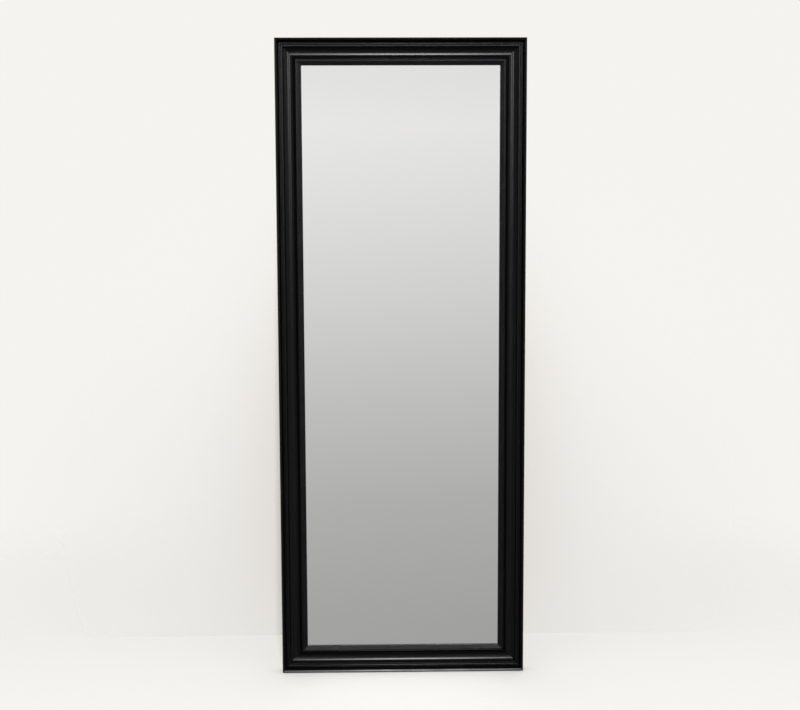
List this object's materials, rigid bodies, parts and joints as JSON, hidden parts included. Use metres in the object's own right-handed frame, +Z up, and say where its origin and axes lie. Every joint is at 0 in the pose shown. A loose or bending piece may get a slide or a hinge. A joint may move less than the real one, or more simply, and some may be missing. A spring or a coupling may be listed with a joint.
{
  "type": "full-length mirror",
  "caption": "Tall rectangular mirror in a mitred black moulding with bevel, cove, bead and raised rim, with folded-strap ring hangers on its back.",
  "frame": {"origin": "middle of the base at the height of the foot pads' undersides, midway between the front of the moulding and the back of the resting rings", "axes": "+Z up along the mirror, the glass faces -Y, +X to the right of a viewer in front of it; upright, not leaned"},
  "size_m": [0.7, 0.0474, 1.812],
  "materials": {
    "frame_lacquer": "satin black lacquer on the face and outer side of a wood moulding, bare wood on its back, slightly softened arrises",
    "mirror_glass": "clear float glass, silvered on its back",
    "safety_film": "woven-look blue-grey film",
    "hardboard": "bare brown hardboard, screen-textured",
    "block_rubber": "dull black rubber",
    "cork": "pressed cork",
    "spring_steel": "bright rolled steel strip",
    "plated_steel": "zinc-plated steel, lightly passivated",
    "screw_steel": "zinc-plated screw",
    "bumper_rubber": "dull dark rubber",
    "pad_rubber": "dull anti-slip rubber"
  },
  "bodies": {
    "mirror": {"top_rail": "frame_lacquer", "bottom_rail": "frame_lacquer", "left_stile": "frame_lacquer", "right_stile": "frame_lacquer", "corner_v_nails": "spring_steel", "mirror_pane": "mirror_glass", "safety_film": "safety_film", "backing_board": "hardboard", "setting_blocks": "block_rubber", "edge_spacers": "cork", "framer_points": "spring_steel", "left_hanger_strap": "plated_steel", "right_hanger_strap": "plated_steel", "left_hanger_screws": "screw_steel", "right_hanger_screws": "screw_steel", "upper_left_bumper": "bumper_rubber", "upper_right_bumper": "bumper_rubber", "lower_left_bumper": "bumper_rubber", "lower_right_bumper": "bumper_rubber", "left_foot_pad": "pad_rubber", "right_foot_pad": "pad_rubber"},
    "left_ring": {"left_hanger_ring": "plated_steel"},
    "right_ring": {"right_hanger_ring": "plated_steel"}
  },
  "joints": [
    {"name": "left_ring_swing", "type": "hinge", "parent": "mirror", "child": "left_ring", "pos_m": [-0.329, 0.01988, 1.462], "axis": [1, 0, 0], "range_deg": [0, 172]},
    {"name": "right_ring_swing", "type": "hinge", "parent": "mirror", "child": "right_ring", "pos_m": [0.329, 0.01988, 1.462], "axis": [1, 0, 0], "range_deg": [0, 172]}
  ]
}
